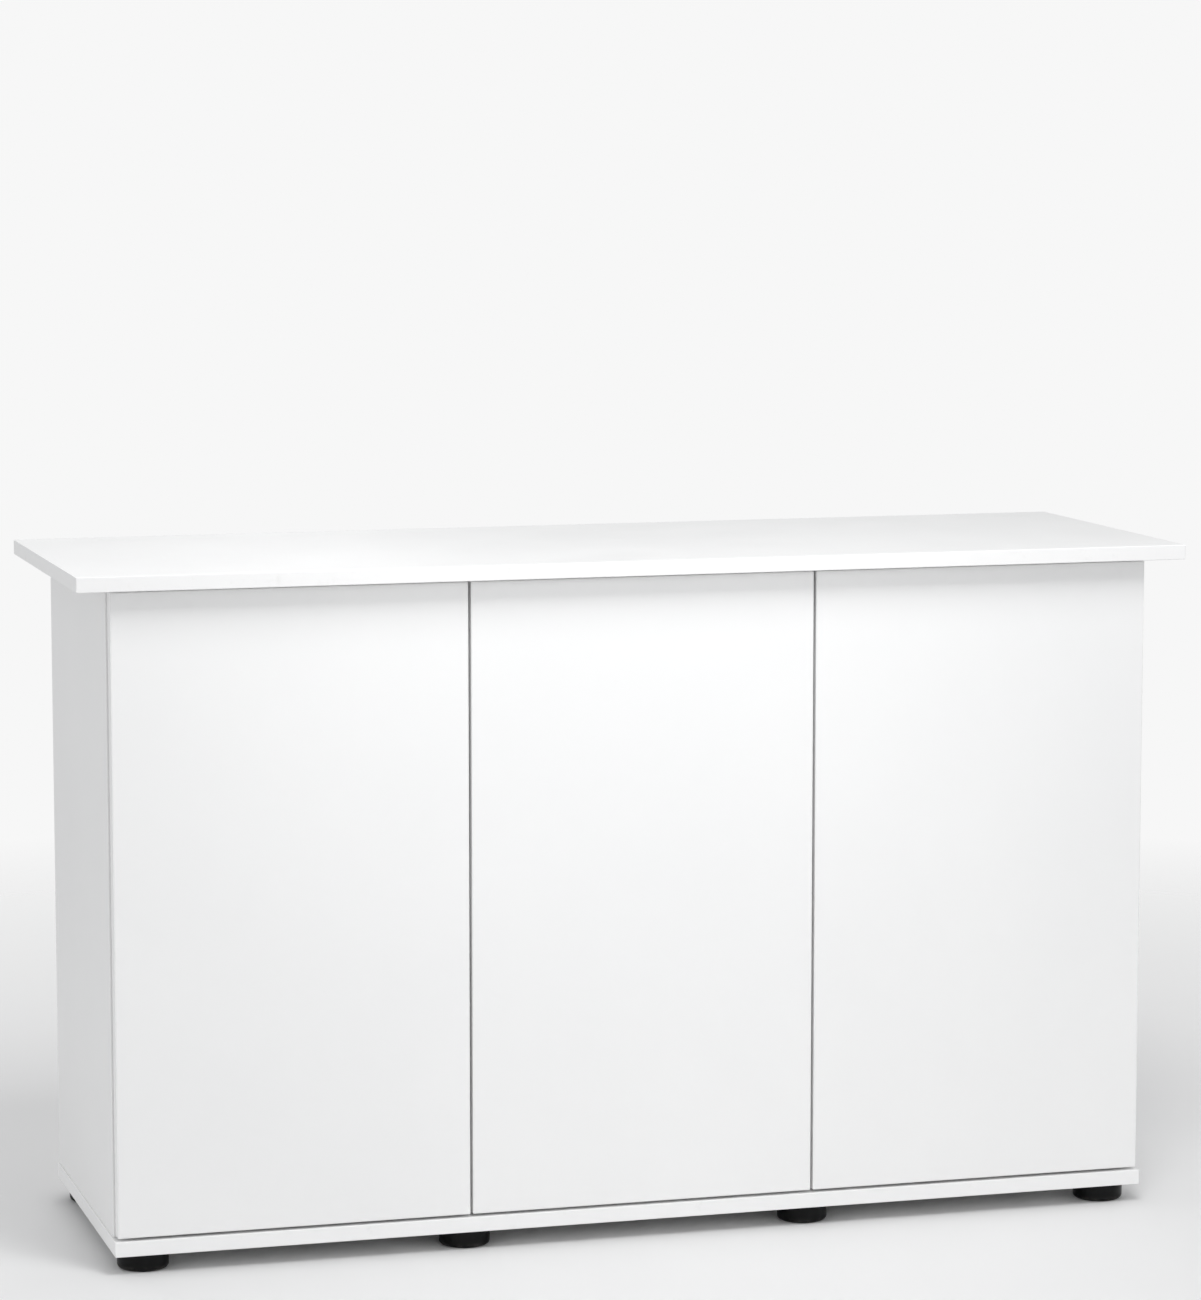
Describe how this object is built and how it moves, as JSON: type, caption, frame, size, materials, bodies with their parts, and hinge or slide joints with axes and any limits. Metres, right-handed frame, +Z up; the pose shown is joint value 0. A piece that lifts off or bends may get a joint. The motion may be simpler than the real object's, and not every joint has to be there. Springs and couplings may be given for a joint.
{
  "type": "aquarium stand cabinet",
  "caption": "Long low white cabinet that carries an aquarium: overhanging top plate, plain push-to-open doors without handles, and a base plate on round black feet.",
  "frame": {"origin": "on the floor, under the middle of the top plate (bottom centre of the whole object)", "axes": "+X to the right seen from the front, -Y towards the viewer (the doors face -Y), +Z up"},
  "size_m": [1.21, 0.41, 0.73],
  "materials": {
    "white_hardboard": "thin white-lacquered hardboard",
    "nickel_steel": "nickel-plated",
    "white_board": "white melamine-faced board, fine satin grain",
    "zinc": "die-cast zinc, dull",
    "soft_plastic": "clear soft dots",
    "beech": "fluted beech, raw",
    "foot_plastic": "black, lightly textured",
    "dark_plastic": "black",
    "grey_plastic": "light grey"
  },
  "bodies": {
    "cabinet": {"back_panel_left": "white_hardboard", "back_panel_middle": "white_hardboard", "back_panel_right": "white_hardboard", "back_screws": "nickel_steel", "base_plate": "white_board", "cam_bolts": "nickel_steel", "cam_locks": "zinc", "divider_left": "white_board", "divider_right": "white_board", "dowels": "beech", "foot_inserts": "dark_plastic", "hinge_arm_pins": "nickel_steel", "hinge_arm_screws": "nickel_steel", "hinge_arms": "nickel_steel", "hinge_base_plates": "nickel_steel", "hinge_base_screws": "nickel_steel", "latch_housings": "grey_plastic", "latch_screws": "nickel_steel", "rear_rail_left": "white_board", "rear_rail_middle": "white_board", "rear_rail_right": "white_board", "shelf_left": "white_board", "shelf_pegs": "nickel_steel", "shelf_right": "white_board", "side_panel_left": "white_board", "side_panel_right": "white_board", "top_plate": "white_board"},
    "door_left": {"door_left": "white_board", "hinge_cups_left": "nickel_steel", "hinge_cup_pins_left": "nickel_steel", "hinge_cup_screws_left": "nickel_steel", "strike_plate_left": "nickel_steel", "door_buffers_left": "soft_plastic"},
    "link_left": {"hinge_links_left": "nickel_steel"},
    "plunger_left": {"latch_plunger_left": "grey_plastic"},
    "door_middle": {"door_middle": "white_board", "hinge_cups_middle": "nickel_steel", "hinge_cup_pins_middle": "nickel_steel", "hinge_cup_screws_middle": "nickel_steel", "strike_plate_middle": "nickel_steel", "door_buffers_middle": "soft_plastic"},
    "link_middle": {"hinge_links_middle": "nickel_steel"},
    "plunger_middle": {"latch_plunger_middle": "grey_plastic"},
    "door_right": {"door_right": "white_board", "hinge_cups_right": "nickel_steel", "hinge_cup_pins_right": "nickel_steel", "hinge_cup_screws_right": "nickel_steel", "strike_plate_right": "nickel_steel", "door_buffers_right": "soft_plastic"},
    "link_right": {"hinge_links_right": "nickel_steel"},
    "plunger_right": {"latch_plunger_right": "grey_plastic"},
    "foot_front_centre_left": {"foot_front_centre_left": "foot_plastic"},
    "foot_front_centre_right": {"foot_front_centre_right": "foot_plastic"},
    "foot_front_left": {"foot_front_left": "foot_plastic"},
    "foot_front_right": {"foot_front_right": "foot_plastic"},
    "foot_rear_centre_left": {"foot_rear_centre_left": "foot_plastic"},
    "foot_rear_centre_right": {"foot_rear_centre_right": "foot_plastic"},
    "foot_rear_left": {"foot_rear_left": "foot_plastic"},
    "foot_rear_right": {"foot_rear_right": "foot_plastic"}
  },
  "joints": [
    {"name": "door_left_link", "type": "hinge", "parent": "cabinet", "child": "link_left", "pos_m": [-0.5332, -0.165, 0.375], "axis": [0, 0, 1], "range_deg": [0, 37.01]},
    {"name": "door_left_swing", "type": "hinge", "parent": "link_left", "child": "door_left", "pos_m": [-0.5562, -0.172, 0.375], "axis": [0, 0, -1], "range_deg": [0, 137]},
    {"name": "door_left_latch", "type": "slide", "parent": "cabinet", "child": "plunger_left", "axis": [0, -1, 0], "range_m": [0, 0.01401]},
    {"name": "door_middle_link", "type": "hinge", "parent": "cabinet", "child": "link_middle", "pos_m": [-0.1542, -0.165, 0.375], "axis": [0, 0, 1], "range_deg": [0, 37.01]},
    {"name": "door_middle_swing", "type": "hinge", "parent": "link_middle", "child": "door_middle", "pos_m": [-0.1772, -0.172, 0.375], "axis": [0, 0, -1], "range_deg": [0, 137]},
    {"name": "door_middle_latch", "type": "slide", "parent": "cabinet", "child": "plunger_middle", "axis": [0, -1, 0], "range_m": [0, 0.01401]},
    {"name": "door_right_link", "type": "hinge", "parent": "cabinet", "child": "link_right", "pos_m": [0.5332, -0.165, 0.375], "axis": [0, 0, -1], "range_deg": [0, 37.01]},
    {"name": "door_right_swing", "type": "hinge", "parent": "link_right", "child": "door_right", "pos_m": [0.5562, -0.172, 0.375], "axis": [0, 0, 1], "range_deg": [0, 137]},
    {"name": "door_right_latch", "type": "slide", "parent": "cabinet", "child": "plunger_right", "axis": [0, -1, 0], "range_m": [0, 0.01401]},
    {"name": "foot_front_centre_left_height", "type": "slide", "parent": "cabinet", "child": "foot_front_centre_left", "axis": [0, 0, -1], "range_m": [0, 0.01]},
    {"name": "foot_front_centre_right_height", "type": "slide", "parent": "cabinet", "child": "foot_front_centre_right", "axis": [0, 0, -1], "range_m": [0, 0.01]},
    {"name": "foot_front_left_height", "type": "slide", "parent": "cabinet", "child": "foot_front_left", "axis": [0, 0, -1], "range_m": [0, 0.01]},
    {"name": "foot_front_right_height", "type": "slide", "parent": "cabinet", "child": "foot_front_right", "axis": [0, 0, -1], "range_m": [0, 0.01]},
    {"name": "foot_rear_centre_left_height", "type": "slide", "parent": "cabinet", "child": "foot_rear_centre_left", "axis": [0, 0, -1], "range_m": [0, 0.01]},
    {"name": "foot_rear_centre_right_height", "type": "slide", "parent": "cabinet", "child": "foot_rear_centre_right", "axis": [0, 0, -1], "range_m": [0, 0.01]},
    {"name": "foot_rear_left_height", "type": "slide", "parent": "cabinet", "child": "foot_rear_left", "axis": [0, 0, -1], "range_m": [0, 0.01]},
    {"name": "foot_rear_right_height", "type": "slide", "parent": "cabinet", "child": "foot_rear_right", "axis": [0, 0, -1], "range_m": [0, 0.01]}
  ],
  "couplings": [
    {"joint": "door_left_link", "follows": "door_left_swing", "ratio": 0.27007},
    {"joint": "door_left_latch", "follows": "door_left_swing", "m_per_rad": 0.005855},
    {"joint": "door_middle_link", "follows": "door_middle_swing", "ratio": 0.27007},
    {"joint": "door_middle_latch", "follows": "door_middle_swing", "m_per_rad": 0.005855},
    {"joint": "door_right_link", "follows": "door_right_swing", "ratio": 0.27007},
    {"joint": "door_right_latch", "follows": "door_right_swing", "m_per_rad": 0.005855}
  ]
}
